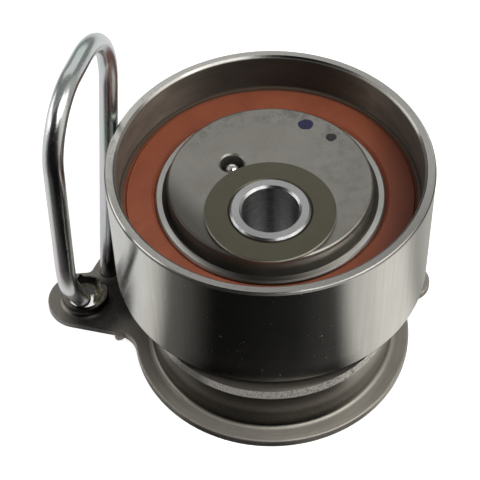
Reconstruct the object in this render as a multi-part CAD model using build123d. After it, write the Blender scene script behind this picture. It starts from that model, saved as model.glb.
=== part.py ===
from build123d import *
import math
import os

# Timing belt tensioner with an eccentric hub, held wound up by a wire lock pin.
# Millimetres. The origin is on the pivot bore's axis, in the plane of the mounting face, with +Z up.
# The drum's axis stands off the pivot's axis along +Y.

# Overall sizes
DRUM_D = 60.0
DRUM_R = DRUM_D / 2
DRUM_WIDTH = 26.0
DRUM_GAP = 1.0
OFFSET = 7.8

# Base plate: a drawn stamping with a round flange, a cup wall, an ear and a side tab
BASE_T = 1.5
FLANGE_R = 26.9
CUP_R = 23.25
CUP_TOP = 10.2
CUP_FOOT_FILLET = 1.1
PLATE_EDGE_FILLET = 0.4
EAR_CENTRE = (-DRUM_R - 8.2, 7.4)
EAR_R = 6.5
EAR_ROOT = (-20.5, 6.0)
EAR_ROOT_R = 9.2
EAR_SWEEP_R = 5.0
EAR_HOLE = (-DRUM_R - 7.05, 7.1)
EAR_HOLE_R = 3.65
EAR_HOLE_CHAMFER = 0.7
EAR_COLLAR_R = 4.45
EAR_COLLAR_H = 1.9
EAR_COLLAR_FILLET = 1.2
LOBE_REACH = DRUM_R + 9.2
LOBE_SIDE = 5.5
LOBE_CORNER_R = 2.5
LOBE_SWEEP_R = 1.2
LOBE_ROOT_R = 3.0
TAB_CENTRE = (27.4, 11.4)
TAB_R = 4.5
TAB_SWEEP_R = 1.8

# Lock pin: one bent wire with a straight leg, a thumb loop and a hooked foot
WIRE_D = 3.55
PIN_HOLE = (-DRUM_R - 2.9, 14.3)
PIN_HOLE_CLEARANCE = 0.15
PIN_LEAN_BACK = 8.13
PIN_LEAN_RIGHT = 4.38
PIN_TURN = 13.3
PIN_SHOULDER = (0.0, 63.0)
PIN_FRONT = (33.0, 62.7)
PIN_KNEE = (25.9, 20.0)
PIN_FOOT = (-DRUM_R - 7.9, 7.1)
PIN_SHOULDER_BEND = 15.3
PIN_FRONT_BEND = 10.5
PIN_KNEE_BEND = 20.0
PIN_END_LIFT = 0.25

# Arm plate: a blanked disc on the hub's lower boss
ARM_R = 23.55
ARM_T = 2.25
ARM_GAP = 0.55
ARM_FINGER_REACH = 1.6
ARM_FINGER_W = 5.5
ARM_FINGER_ROUND = 1.5
ARM_FINGER_ROOT = 3.0
STOP_GAP = 0.05

# Pivot sleeve, its bush and the washers at its ends
BOLT_BORE_R = 5.25
SLEEVE_R = 7.35
SLEEVE_PROUD = 0.4
SLEEVE_BORE_CHAMFER = 0.4
SLEEVE_EDGE_CHAMFER = 0.35
BUSH_WALL = 0.85
BUSH_RUN = 0.04
BUSH_INSET = 0.6
TOP_WASHER_R = 11.9
TOP_WASHER_T = 0.75
TOP_WASHER_CHAMFER = 0.4
TOP_WASHER_EDGE = 0.2
AXIAL_PLAY = 0.05
REAR_DISC_T = 1.5
REAR_DISC_INSET = 0.2
REAR_WASHER_T = 1.1
REAR_WASHER_R = 12.4

# Eccentric hub: a round body that carries the bearing, and a boss below it, in one piece
RIM_DEPTH = 7.8
DISC_T = 3.1
DISC_EDGE_FILLET = 0.7
SEAT_R = 19.0
BOSS_STEP = 0.2
DOWEL_HOLE = (-7.0, 12.3)
DOWEL_HOLE_R = 2.25
DOWEL_HOLE_DEPTH = 7.0
DOWEL_HOLE_CHAMFER = 0.3
DOWEL_R = 1.4
DOWEL_DROP = 0.7
DOWEL_SEAT = 2.5

# Ball bearing between hub and drum
BEARING_W = 15.0
INNER_LAND_R = 21.27
OUTER_LAND_R = 26.2
OUTER_RING_R = 28.5
BALL_D = 6.8
BALL_COUNT = 13
BALL_RUN = 0.03
GROOVE_CONFORMITY = 1.04
RING_CHAMFER = 0.3
BORE_CORNER_W = 1.0
BORE_CORNER_H = 1.4
SEAL_SEAT_R = 27.2
SEAL_T = 1.1
SEAL_INSET = 0.1
SEAL_RUN = 0.06
SEAL_STEP = 0.35
SEAL_GROOVE_IN = 0.7
SEAL_GROOVE_OUT = 0.45
SEAL_LIP_W = 0.65
SEAL_LIP_DROP = 0.75
CAGE_WALL = 2.2
CAGE_BACK = 1.0
CAGE_RISE = 1.7
CAGE_POCKET_RUN = 0.15

# Drum shell
RECESS_R = 28.0
RIM_CHAMFER_OUT = 0.4
RIM_CHAMFER_IN = 0.45
DRUM_FOOT_CHAMFER = 0.3

# Torsion spring and the plastic pieces round it
SPRING_WIRE = 2.8
SPRING_MEAN_R = 17.6
SPRING_TURNS = 1.36
SPRING_PITCH = 3.25
SPRING_START_DEG = 200.0
SPRING_RUN = 0.1
BUSH_RING_R = 15.8
BUSH_RING_WALL = 1.4
BUSH_RING_CHAMFER = 0.5
BUSH_FLANGE_T = 0.8
BUSH_FLANGE_R = 21.2
LUG_T = 2.2
LUG_SIDE = 0.2
LUG_DROP = 3.4
LUG_RISE = 3.6
WEAR_RING_WALL = 1.1
WEAR_RING_DEPTH = 2.8
WEAR_RING_LIP = 0.5
WEAR_RING_SETBACK = 0.3
FIT_GAP = 0.05

# Heights that follow from the sizes above
ARM_Z = CUP_TOP + ARM_GAP
ARM_TOP = ARM_Z + ARM_T
DRUM_Z = ARM_TOP + DRUM_GAP
DRUM_TOP = DRUM_Z + DRUM_WIDTH
BEARING_TOP = DRUM_TOP - RIM_DEPTH
BEARING_Z = BEARING_TOP - BEARING_W
BALL_Z = BEARING_Z + BEARING_W / 2
DISC_TOP = BEARING_TOP + DISC_T
SLEEVE_TOP = DISC_TOP + AXIAL_PLAY + TOP_WASHER_T + SLEEVE_PROUD
REAR_DISC_TOP = REAR_DISC_INSET + REAR_DISC_T
REAR_WASHER_TOP = REAR_DISC_TOP + REAR_WASHER_T
BOSS_Z = REAR_WASHER_TOP + AXIAL_PLAY

# Radii that follow from the sizes above
BUSH_R = SLEEVE_R + BUSH_RUN + BUSH_WALL
BOSS_R = SEAT_R - OFFSET - BOSS_STEP
BOSS_CHAMFER = (BOSS_R - BUSH_R) / 5
CUP_BORE_R = CUP_R - BASE_T
PITCH_R = (INNER_LAND_R + OUTER_LAND_R) / 2
GROOVE_R = BALL_D / 2 * GROOVE_CONFORMITY
GROOVE_SHIFT = GROOVE_R - BALL_D / 2 - BALL_RUN
WIRE_R = WIRE_D / 2
SPRING_Z = REAR_DISC_TOP + BUSH_FLANGE_T + SPRING_RUN + SPRING_WIRE / 2
SPRING_RISE = SPRING_TURNS * SPRING_PITCH
SPRING_END_DEG = SPRING_START_DEG + 360.0 * SPRING_TURNS
LUG_W = SPRING_WIRE + 2 * LUG_SIDE

DRUM_AXIS = Pos(0, OFFSET, 0)


def tube(outer_r, inner_r, z0, z1):
    """A plain ring between two heights, on the pivot's axis."""
    wall = Cylinder(outer_r, z1 - z0) - Cylinder(inner_r, z1 - z0)
    return Pos(0, 0, (z0 + z1) / 2) * wall


def turned(points):
    """A turned piece from the half section's (radius, height) points."""
    section = make_face(Polyline([(r, 0, z) for r, z in points], close=True))
    return revolve(section, Axis.Z)


def circle_edges(part, radius, z, centre=(0, 0)):
    """The circular edges of one radius at one height round a centre."""
    found = []
    for edge in part.edges().filter_by(GeomType.CIRCLE):
        middle = edge.arc_center
        at_centre = math.hypot(middle.X - centre[0], middle.Y - centre[1]) < 1e-3
        if at_centre and abs(middle.Z - z) < 1e-3 and abs(edge.radius - radius) < 1e-3:
            found.append(edge)
    return found


def pin_direction():
    """The straight leg's unit vector, from its hole upwards."""
    back = math.tan(math.radians(PIN_LEAN_BACK))
    right = math.tan(math.radians(PIN_LEAN_RIGHT))
    return Vector(right, back, 1).normalized()


def pin_plane():
    """The thumb loop's plane: local Y runs up the leg and local X towards the loop's front side."""
    up = pin_direction()
    turn = math.radians(PIN_TURN)
    front = Vector(-math.sin(turn), -math.cos(turn), 0)
    front = (front - up * front.dot(up)).normalized()
    return Plane(origin=(*PIN_HOLE, BASE_T), x_dir=front, z_dir=front.cross(up))


def tapered_arm(tip, tip_r, root, root_r):
    """The outline of two circles and their two outer tangent lines."""
    reach = math.hypot(root[0] - tip[0], root[1] - tip[1])
    turn = math.degrees(math.atan2(root[1] - tip[1], root[0] - tip[0]))
    lean = math.asin((root_r - tip_r) / reach)
    c = math.cos(lean)
    s = math.sin(lean)
    sides = Polygon(
        (-tip_r * s, tip_r * c),
        (-tip_r * s, -tip_r * c),
        (reach - root_r * s, -root_r * c),
        (reach - root_r * s, root_r * c),
        align=None,
    )
    arm = sides + Circle(tip_r) + Pos(reach, 0) * Circle(root_r)
    return Pos(*tip) * Rot(0, 0, turn) * arm


def pin_lobe():
    """The part of the plate round the pin hole, which ends in an arc about the pivot's axis."""
    strip = Pos(LOBE_REACH / 2, 0) * Rectangle(LOBE_REACH + 2, 2 * LOBE_SIDE)
    turn = math.degrees(math.atan2(PIN_HOLE[1], PIN_HOLE[0]))
    return Circle(LOBE_REACH) & Rot(0, 0, turn) * strip


def corners_at(plate, radius):
    """The upright edges of a flat plate at one distance from the pivot's axis, in order of Y."""
    edges = plate.edges().filter_by(Axis.Z)
    on_circle = edges.filter_by(lambda e: abs(math.hypot(e.center().X, e.center().Y) - radius) < 1e-3)
    return on_circle.sort_by(Axis.Y)


def base_blank():
    """The flange with its ear, the lobe round the pin hole and the side tab, with their sweeps."""
    ear = tapered_arm(EAR_CENTRE, EAR_R, EAR_ROOT, EAR_ROOT_R)
    tab = tapered_arm(TAB_CENTRE, TAB_R, (FLANGE_R / 2, OFFSET), TAB_R)
    blank = extrude(Circle(FLANGE_R) + ear + pin_lobe() + tab, BASE_T)
    corners = corners_at(blank, FLANGE_R) + corners_at(blank, LOBE_REACH)
    radii = (EAR_SWEEP_R, TAB_SWEEP_R, TAB_SWEEP_R, LOBE_ROOT_R, LOBE_SWEEP_R, LOBE_CORNER_R)
    for corner, radius in zip(corners, radii):
        nearest = blank.edges().filter_by(Axis.Z).sort_by_distance(corner.center())[0]
        blank = fillet(nearest, radius)
    return blank


def base_plate():
    """Flange, ear and cup wall drawn from one sheet, with the pin hole and the ear's collared hole."""
    plate = base_blank()
    plate = fillet(plate.faces().sort_by(Axis.Z)[-1].outer_wire().edges(), PLATE_EDGE_FILLET)
    cup = plate - Cylinder(CUP_BORE_R, 4 * BASE_T) + tube(CUP_R, CUP_BORE_R, 0, CUP_TOP)
    cup = fillet(circle_edges(cup, CUP_R, BASE_T), CUP_FOOT_FILLET)
    collar_top = BASE_T + EAR_COLLAR_H
    cup = cup + Pos(*EAR_HOLE, collar_top / 2) * Cylinder(EAR_COLLAR_R, collar_top)
    cup = fillet(circle_edges(cup, EAR_COLLAR_R, BASE_T, EAR_HOLE), EAR_COLLAR_FILLET)
    cup = cup - Pos(*EAR_HOLE, 0) * Cylinder(EAR_HOLE_R, 4 * collar_top)
    cup = chamfer(circle_edges(cup, EAR_HOLE_R, 0, EAR_HOLE), EAR_HOLE_CHAMFER)
    leg = Location(Plane(origin=(*PIN_HOLE, BASE_T), z_dir=pin_direction()))
    return cup - leg * Cylinder(WIRE_R + PIN_HOLE_CLEARANCE, 6 * BASE_T)


def rear_disc():
    """The disc that closes the cup and carries the sleeve, with the lug that holds the spring's foot."""
    disc = tube(CUP_BORE_R, SLEEVE_R, REAR_DISC_INSET, REAR_DISC_TOP)
    lug = Pos(SPRING_MEAN_R, -LUG_T / 2 - SPRING_RUN, REAR_DISC_TOP + LUG_RISE / 2) * Box(LUG_W, LUG_T, LUG_RISE)
    return disc + Rot(0, 0, SPRING_START_DEG) * lug


def pivot_sleeve():
    """The sleeve that the mounting bolt clamps, with its upper edges chamfered."""
    sleeve = tube(SLEEVE_R, BOLT_BORE_R, 0, SLEEVE_TOP)
    sleeve = chamfer(circle_edges(sleeve, BOLT_BORE_R, SLEEVE_TOP), SLEEVE_BORE_CHAMFER)
    return chamfer(circle_edges(sleeve, SLEEVE_R, SLEEVE_TOP), SLEEVE_EDGE_CHAMFER)


def top_washer():
    """The thrust washer pressed on the sleeve above the hub's disc."""
    z0 = DISC_TOP + AXIAL_PLAY
    z1 = z0 + TOP_WASHER_T
    return turned([
        (SLEEVE_R, z0),
        (TOP_WASHER_R - TOP_WASHER_EDGE, z0),
        (TOP_WASHER_R, z0 + TOP_WASHER_EDGE),
        (TOP_WASHER_R, z1 - TOP_WASHER_EDGE),
        (TOP_WASHER_R - TOP_WASHER_EDGE, z1),
        (SLEEVE_R + TOP_WASHER_CHAMFER, z1),
        (SLEEVE_R, z1 - TOP_WASHER_CHAMFER),
    ])


def rear_washer():
    """The plastic thrust washer between the rear disc and the hub's boss."""
    return tube(REAR_WASHER_R, SLEEVE_R + FIT_GAP, REAR_DISC_TOP, REAR_WASHER_TOP)


def spring_bush():
    """The plastic ring that centres the coil, with a flange under it and a notch for the lug."""
    inner = BUSH_RING_R - BUSH_RING_WALL
    top = ARM_Z - LUG_DROP
    flange_top = REAR_DISC_TOP + BUSH_FLANGE_T
    ring = turned([
        (inner, REAR_DISC_TOP),
        (BUSH_FLANGE_R, REAR_DISC_TOP),
        (BUSH_FLANGE_R, flange_top),
        (BUSH_RING_R, flange_top),
        (BUSH_RING_R, top - BUSH_RING_CHAMFER),
        (BUSH_RING_R - BUSH_RING_CHAMFER, top),
        (inner, top),
    ])
    notch = Pos(SPRING_MEAN_R, -LUG_T / 2 - SPRING_RUN, flange_top) * Box(
        LUG_W + 4 * FIT_GAP, LUG_T + 4 * FIT_GAP, 4 * BUSH_FLANGE_T
    )
    return ring - Rot(0, 0, SPRING_START_DEG) * notch


def torsion_spring():
    """The coil of rectangular wire, wound from the rear disc's lug up to the arm plate's lug."""
    coil = Helix(SPRING_PITCH, SPRING_RISE, SPRING_MEAN_R)
    wire = Plane(origin=coil @ 0, x_dir=(1, 0, 0), z_dir=coil % 0) * Rectangle(SPRING_WIRE, SPRING_WIRE)
    spring = sweep(wire, path=coil, is_frenet=True)
    return Pos(0, 0, SPRING_Z) * Rot(0, 0, SPRING_START_DEG) * spring


def wear_ring():
    """The plastic ring in the cup's mouth that the arm plate slides on."""
    outer = CUP_BORE_R - FIT_GAP
    inner = outer - WEAR_RING_WALL
    return turned([
        (inner, CUP_TOP - WEAR_RING_DEPTH),
        (outer, CUP_TOP - WEAR_RING_DEPTH),
        (outer, CUP_TOP),
        (CUP_R - WEAR_RING_SETBACK, CUP_TOP),
        (CUP_R - WEAR_RING_SETBACK, CUP_TOP + WEAR_RING_LIP),
        (inner, CUP_TOP + WEAR_RING_LIP),
    ])


def eccentric_hub():
    """Round body on the drum's axis, boss and bore on the pivot's axis."""
    body_h = DISC_TOP - ARM_TOP
    body = DRUM_AXIS * (Pos(0, 0, ARM_TOP + body_h / 2) * Cylinder(SEAT_R, body_h))
    body = fillet(circle_edges(body, SEAT_R, DISC_TOP, (0, OFFSET)), DISC_EDGE_FILLET)
    boss_h = ARM_TOP - BOSS_Z
    hub = body + Pos(0, 0, BOSS_Z + boss_h / 2) * Cylinder(BOSS_R, boss_h)
    hub = hub - Pos(0, 0, DISC_TOP / 2) * Cylinder(BUSH_R, 2 * DISC_TOP)
    hub = chamfer(circle_edges(hub, BOSS_R, BOSS_Z), BOSS_CHAMFER)
    return hub - dowel_hole()


def dowel_hole():
    """The hole in the hub with a chamfered mouth, and the smaller bore in its floor that grips the dowel."""
    floor_z = DISC_TOP - DOWEL_HOLE_DEPTH
    drill = turned([
        (0, floor_z - DOWEL_SEAT),
        (DOWEL_R, floor_z - DOWEL_SEAT),
        (DOWEL_R, floor_z),
        (DOWEL_HOLE_R, floor_z),
        (DOWEL_HOLE_R, DISC_TOP - DOWEL_HOLE_CHAMFER),
        (DOWEL_HOLE_R + 2 * DOWEL_HOLE_CHAMFER, DISC_TOP + DOWEL_HOLE_CHAMFER),
        (0, DISC_TOP + DOWEL_HOLE_CHAMFER),
    ])
    return Pos(*DOWEL_HOLE, 0) * drill


def hub_dowel():
    """The dowel with a domed end that stands in the hub."""
    z0 = DISC_TOP - DOWEL_HOLE_DEPTH - DOWEL_SEAT
    shoulder = DISC_TOP - DOWEL_DROP - DOWEL_R
    shank = Pos(*DOWEL_HOLE, (z0 + shoulder) / 2) * Cylinder(DOWEL_R, shoulder - z0)
    return shank + Pos(*DOWEL_HOLE, shoulder) * Sphere(DOWEL_R)


def pivot_bush():
    """The plain bearing bush pressed into the hub's bore."""
    return tube(BUSH_R, SLEEVE_R + BUSH_RUN, BOSS_Z + BUSH_INSET, DISC_TOP - BUSH_INSET)


def arm_plate():
    """The blanked plate with the finger that rests on the pin and the lug that the spring pushes."""
    up = pin_direction()
    mid = (ARM_Z + ARM_TOP) / 2 - BASE_T
    leg = Vector(*PIN_HOLE) + Vector(up.X, up.Y) * (mid / up.Z)
    reach = math.hypot(leg.X, leg.Y) + ARM_FINGER_REACH
    angle = math.degrees(math.atan2(leg.Y, leg.X))
    inner = ARM_R - ARM_FINGER_ROOT
    side = WIRE_R / up.Z + ARM_T / 2 * math.tan(math.radians(PIN_LEAN_BACK)) + STOP_GAP
    finger = Pos((inner + reach) / 2, -side - ARM_FINGER_W / 2) * Rectangle(reach - inner, ARM_FINGER_W)
    finger = fillet(finger.vertices().sort_by(Axis.X)[-1], ARM_FINGER_ROUND)
    outline = Circle(ARM_R) + Rot(0, 0, angle) * finger - Circle(BOSS_R)
    plate = Pos(0, 0, ARM_Z) * extrude(outline, ARM_T)
    lug = Pos(SPRING_MEAN_R, LUG_T / 2 + SPRING_RUN, ARM_Z - LUG_DROP / 2) * Box(LUG_W, LUG_T, LUG_DROP)
    return plate + Rot(0, 0, SPRING_END_DEG) * lug


def spacer_ring():
    """The ring that holds the bearing up off the arm plate."""
    return DRUM_AXIS * tube(INNER_LAND_R - RING_CHAMFER, SEAT_R, ARM_TOP, BEARING_Z)


def race_groove(centre_r):
    """The ring that cuts a ball groove whose section is centred at one radius."""
    return Pos(0, 0, BALL_Z) * Torus(centre_r, GROOVE_R)


def bearing_inner_ring():
    """The inner race on the hub's seat, with the wide corners of its bore."""
    ring = turned([
        (SEAT_R, BEARING_Z + BORE_CORNER_H),
        (SEAT_R + BORE_CORNER_W, BEARING_Z),
        (INNER_LAND_R - RING_CHAMFER, BEARING_Z),
        (INNER_LAND_R, BEARING_Z + RING_CHAMFER),
        (INNER_LAND_R, BEARING_TOP - RING_CHAMFER),
        (INNER_LAND_R - RING_CHAMFER, BEARING_TOP),
        (SEAT_R + BORE_CORNER_W, BEARING_TOP),
        (SEAT_R, BEARING_TOP - BORE_CORNER_H),
    ])
    return DRUM_AXIS * (ring - race_groove(PITCH_R + GROOVE_SHIFT))


def bearing_outer_ring():
    """The outer race in the drum, with a step at each face for the seals."""
    seat = SEAL_T + SEAL_INSET
    ring = turned([
        (OUTER_LAND_R, BEARING_Z + seat),
        (SEAL_SEAT_R, BEARING_Z + seat),
        (SEAL_SEAT_R, BEARING_Z),
        (OUTER_RING_R - RING_CHAMFER, BEARING_Z),
        (OUTER_RING_R, BEARING_Z + RING_CHAMFER),
        (OUTER_RING_R, BEARING_TOP - RING_CHAMFER),
        (OUTER_RING_R - RING_CHAMFER, BEARING_TOP),
        (SEAL_SEAT_R, BEARING_TOP),
        (SEAL_SEAT_R, BEARING_TOP - seat),
        (OUTER_LAND_R, BEARING_TOP - seat),
    ])
    return DRUM_AXIS * (ring - race_groove(PITCH_R - GROOVE_SHIFT))


def bearing_seal(face_z, inward):
    """A moulded seal in the outer ring's step: inward is -1 at the front face and 1 at the rear."""
    out = face_z + inward * SEAL_INSET
    back = out + inward * SEAL_T
    step = out + inward * SEAL_STEP
    lip = INNER_LAND_R + SEAL_RUN
    return DRUM_AXIS * turned([
        (lip, out + inward * SEAL_LIP_DROP),
        (lip + SEAL_LIP_W, out),
        (SEAL_SEAT_R - SEAL_GROOVE_IN, out),
        (SEAL_SEAT_R - SEAL_GROOVE_OUT, step),
        (SEAL_SEAT_R, step),
        (SEAL_SEAT_R, back),
        (lip, back),
    ])


def bearing_balls():
    """The row of balls, as separate solids."""
    ball = Pos(PITCH_R, 0, BALL_Z) * Sphere(BALL_D / 2)
    turns = [Rot(0, 0, 360.0 * i / BALL_COUNT) for i in range(BALL_COUNT)]
    return Compound(children=[DRUM_AXIS * (turn * ball) for turn in turns])


def bearing_cage():
    """The moulded snap cage: a crown with one open pocket for each ball."""
    z0 = BALL_Z - BALL_D / 2 - CAGE_BACK
    crown = tube(PITCH_R + CAGE_WALL / 2, PITCH_R - CAGE_WALL / 2, z0, BALL_Z + CAGE_RISE)
    pocket = Pos(PITCH_R, 0, BALL_Z) * Rot(0, 90, 0) * Cylinder(BALL_D / 2 + CAGE_POCKET_RUN, 2 * CAGE_WALL)
    for i in range(BALL_COUNT):
        crown = crown - Rot(0, 0, 360.0 * i / BALL_COUNT) * pocket
    return DRUM_AXIS * crown


def pulley_drum():
    """The turned drum: a belt face, a recess above the bearing and a seat open to the rear."""
    shell = turned([
        (OUTER_RING_R, DRUM_Z),
        (DRUM_R - DRUM_FOOT_CHAMFER, DRUM_Z),
        (DRUM_R, DRUM_Z + DRUM_FOOT_CHAMFER),
        (DRUM_R, DRUM_TOP - RIM_CHAMFER_OUT),
        (DRUM_R - RIM_CHAMFER_OUT, DRUM_TOP),
        (RECESS_R + RIM_CHAMFER_IN, DRUM_TOP),
        (RECESS_R, DRUM_TOP - RIM_CHAMFER_IN),
        (RECESS_R, BEARING_TOP),
        (OUTER_RING_R, BEARING_TOP),
    ])
    return DRUM_AXIS * shell


def lock_pin():
    """The bent wire: its leg stands in the pin hole and its foot in the ear's hole."""
    plane = pin_plane()
    up = pin_direction()
    low = (PIN_END_LIFT - BASE_T + WIRE_R * math.tan(math.radians(PIN_LEAN_BACK))) / up.Z
    knee = plane.from_local_coords(PIN_KNEE)
    foot = Vector(*PIN_FOOT, BASE_T)
    along = (foot - knee).normalized()
    tilt = math.acos(-along.Z)
    drop = (BASE_T - PIN_END_LIFT - WIRE_R * math.sin(tilt)) / -along.Z
    path = FilletPolyline(
        [
            plane.from_local_coords((0, low)),
            plane.from_local_coords(PIN_SHOULDER),
            plane.from_local_coords(PIN_FRONT),
            knee,
            foot + along * drop,
        ],
        radius=[PIN_SHOULDER_BEND, PIN_FRONT_BEND, PIN_KNEE_BEND],
    )
    section = Plane(origin=path @ 0, z_dir=path % 0) * Circle(WIRE_R)
    return sweep(section, path=path)


nodes = {
    "base_plate": base_plate(),
    "rear_disc": rear_disc(),
    "pivot_sleeve": pivot_sleeve(),
    "rear_washer": rear_washer(),
    "spring_bush": spring_bush(),
    "torsion_spring": torsion_spring(),
    "wear_ring": wear_ring(),
    "top_washer": top_washer(),
    "eccentric_hub": eccentric_hub(),
    "hub_dowel": hub_dowel(),
    "pivot_bush": pivot_bush(),
    "arm_plate": arm_plate(),
    "spacer_ring": spacer_ring(),
    "bearing_inner_ring": bearing_inner_ring(),
    "bearing_outer_ring": bearing_outer_ring(),
    "front_seal": bearing_seal(BEARING_TOP, -1),
    "rear_seal": bearing_seal(BEARING_Z, 1),
    "bearing_balls": bearing_balls(),
    "bearing_cage": bearing_cage(),
    "pulley_drum": pulley_drum(),
    "lock_pin": lock_pin(),
}

os.makedirs("parts", exist_ok=True)
for name, shape in nodes.items():
    export_step(shape, f"parts/{name}.step")
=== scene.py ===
import math

import bmesh
import bpy
from mathutils import Matrix, Vector, noise


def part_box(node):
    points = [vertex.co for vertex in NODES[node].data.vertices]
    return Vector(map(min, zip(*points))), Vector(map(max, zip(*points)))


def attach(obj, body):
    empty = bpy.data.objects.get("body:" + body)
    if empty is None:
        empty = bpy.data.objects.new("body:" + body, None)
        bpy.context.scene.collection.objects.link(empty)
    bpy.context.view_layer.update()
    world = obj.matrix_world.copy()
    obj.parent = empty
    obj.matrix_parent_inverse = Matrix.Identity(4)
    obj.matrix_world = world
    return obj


# Looks for a timing belt tensioner pulley. Metres, in the frame of the CAD model:
# the origin is on the pivot's axis in the mounting face, the drum's axis stands off it along +Y.

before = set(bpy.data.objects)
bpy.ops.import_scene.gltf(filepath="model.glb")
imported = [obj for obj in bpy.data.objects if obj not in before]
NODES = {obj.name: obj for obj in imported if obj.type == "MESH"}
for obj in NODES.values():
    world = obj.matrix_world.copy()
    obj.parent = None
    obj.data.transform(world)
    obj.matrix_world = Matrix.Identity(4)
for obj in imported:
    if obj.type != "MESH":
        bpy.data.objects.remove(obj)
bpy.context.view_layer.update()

MM = 0.001
DRUM_AXIS = (0.0, 7.8 * MM)
PIVOT_AXIS = (0.0, 0.0)

# The ear's hole, in millimetres: its centre, its radius and the height of its collar.
HOLE_X, HOLE_Y = -37.05, 7.1
HOLE_R = 3.65
COLLAR_TOP = 3.4

# Nodes. A material is a chain of fields from 0 to 1 that are laid by place or by noise, and a field blends
# the colour so far with the next one. Scales of noise are in lumps per metre.


def empty_tree(mat):
    """The node tree of a new material, emptied, with its output."""
    mat.use_nodes = True
    tree = mat.node_tree
    tree.nodes.clear()
    return tree, tree.nodes.new("ShaderNodeOutputMaterial")


def new_material(name):
    """An empty material with its shader, ready for a colour, roughness and bump."""
    mat = bpy.data.materials.new(name)
    tree, out = empty_tree(mat)
    shader = tree.nodes.new("ShaderNodeBsdfPrincipled")
    tree.links.new(shader.outputs["BSDF"], out.inputs["Surface"])
    return mat, tree, shader


def put(tree, socket, value):
    """Sets a socket, or links it where the value is another node's output."""
    if isinstance(value, bpy.types.NodeSocket):
        tree.links.new(value, socket)
    elif isinstance(value, (tuple, list)) and len(value) == 3 and socket.type == "RGBA":
        socket.default_value = (*value, 1.0)
    else:
        socket.default_value = value


def dress(tree, shader, values):
    """Puts a value on each of the shader's sockets that is named."""
    for name, value in values.items():
        put(tree, shader.inputs[name], value)


def add(tree, kind, inputs=None, **settings):
    """A node of one kind with its settings and its inputs."""
    made = tree.nodes.new(kind)
    for key, value in settings.items():
        setattr(made, key, value)
    for key, value in (inputs or {}).items():
        put(tree, made.inputs[key], value)
    return made


def calc(tree, operation, a, b=0.0):
    """One sum of two numbers."""
    return add(tree, "ShaderNodeMath", {0: a, 1: b}, operation=operation).outputs[0]


def plus(tree, a, b):
    return calc(tree, "ADD", a, b)


def minus(tree, a, b):
    return calc(tree, "SUBTRACT", a, b)


def times(tree, a, b):
    return calc(tree, "MULTIPLY", a, b)


def size_of(tree, a):
    return calc(tree, "ABSOLUTE", a)


def plus_share(tree, value, other, share):
    """The value plus a share of another one. With a noise field, a border laid along it wavers."""
    return plus(tree, value, times(tree, other, share))


def spread(tree, value, low, high, to_low=0.0, to_high=1.0, smooth=False):
    """The value moved from one range to another, and held inside it."""
    kind = "SMOOTHSTEP" if smooth else "LINEAR"
    made = add(tree, "ShaderNodeMapRange", {
        "Value": value, "From Min": low, "From Max": high, "To Min": to_low, "To Max": to_high,
    }, interpolation_type=kind)
    return made.outputs["Result"]


NOISE_LOW, NOISE_HIGH = 0.3, 0.7  # between these lies most of a noise field


def by_noise(tree, field, to_low=0.0, to_high=1.0):
    """A value that follows a noise field from one level to another."""
    return spread(tree, field, NOISE_LOW, NOISE_HIGH, to_low, to_high)


MIX_FACTOR, MIX_A, MIX_B, MIX_RESULT = 0, 6, 7, 2  # the mix node's sockets when it mixes colours


def blend_colour(tree, factor, a, b):
    """Colour a where the factor is 0 and b where it is 1."""
    made = add(tree, "ShaderNodeMix", {MIX_FACTOR: factor, MIX_A: a, MIX_B: b}, data_type="RGBA")
    return made.outputs[MIX_RESULT]


def vector(tree, x, y, z):
    return add(tree, "ShaderNodeCombineXYZ", {0: x, 1: y, 2: z}).outputs[0]


def place(tree):
    """The point on the object, in metres, as a vector and as its three numbers."""
    point = add(tree, "ShaderNodeTexCoord").outputs["Object"]
    parts = add(tree, "ShaderNodeSeparateXYZ", {0: point})
    return point, parts.outputs[0], parts.outputs[1], parts.outputs[2]


def upward(tree):
    """How far the surface faces up: 1 on a top face and 0 on an upright wall."""
    normal = add(tree, "ShaderNodeTexCoord").outputs["Normal"]
    return add(tree, "ShaderNodeSeparateXYZ", {0: normal}).outputs[2]


def round_axis(tree, axis):
    """Radius, angle and height about an upright axis."""
    _, x, y, z = place(tree)
    dx = minus(tree, x, axis[0])
    dy = minus(tree, y, axis[1])
    radius = calc(tree, "SQRT", plus(tree, times(tree, dx, dx), times(tree, dy, dy)))
    return radius, calc(tree, "ARCTAN2", dy, dx), z


def speckle(tree, where, scale, detail=3.0, rough=0.55, warp=0.0):
    """A noise field from 0 to 1."""
    made = add(tree, "ShaderNodeTexNoise", {
        "Vector": where, "Scale": scale, "Detail": detail, "Roughness": rough, "Distortion": warp,
    })
    return made.outputs["Fac"]


def drawn_out(tree, angle, z, along, upright, detail, rough):
    """A noise on an upright wall, drawn out by its own scale round the axis and up the wall."""
    where = vector(tree, times(tree, angle, along), 0.0, times(tree, z, upright))
    return speckle(tree, where, 1.0, detail, rough)


def turned_lines(tree, axis, across=9000.0, along=1.2, upright=9000.0):
    """The fine rings that a lathe or grinding wheel leaves: a noise that runs round the axis."""
    radius, angle, z = round_axis(tree, axis)
    where = vector(tree, times(tree, radius, across), times(tree, angle, along), times(tree, z, upright))
    return speckle(tree, where, 1.0, 4.0, 0.7)


def bump(tree, height, strength, distance, below=None):
    """A bump from a height field, on top of another one."""
    inputs = {"Height": height, "Strength": strength, "Distance": distance}
    if below is not None:
        inputs["Normal"] = below
    return add(tree, "ShaderNodeBump", inputs).outputs[0]


QUARTER_TURN = 0.25


def turned_shine(tree, shader, amount):
    """Draws the highlights out across the turning marks, which run round the upright axis."""
    dress(tree, shader, {
        "Anisotropic": amount,
        "Anisotropic Rotation": QUARTER_TURN,
        "Tangent": add(tree, "ShaderNodeTangent", direction_type="RADIAL", axis="Z").outputs[0],
    })


# Materials.


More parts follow.
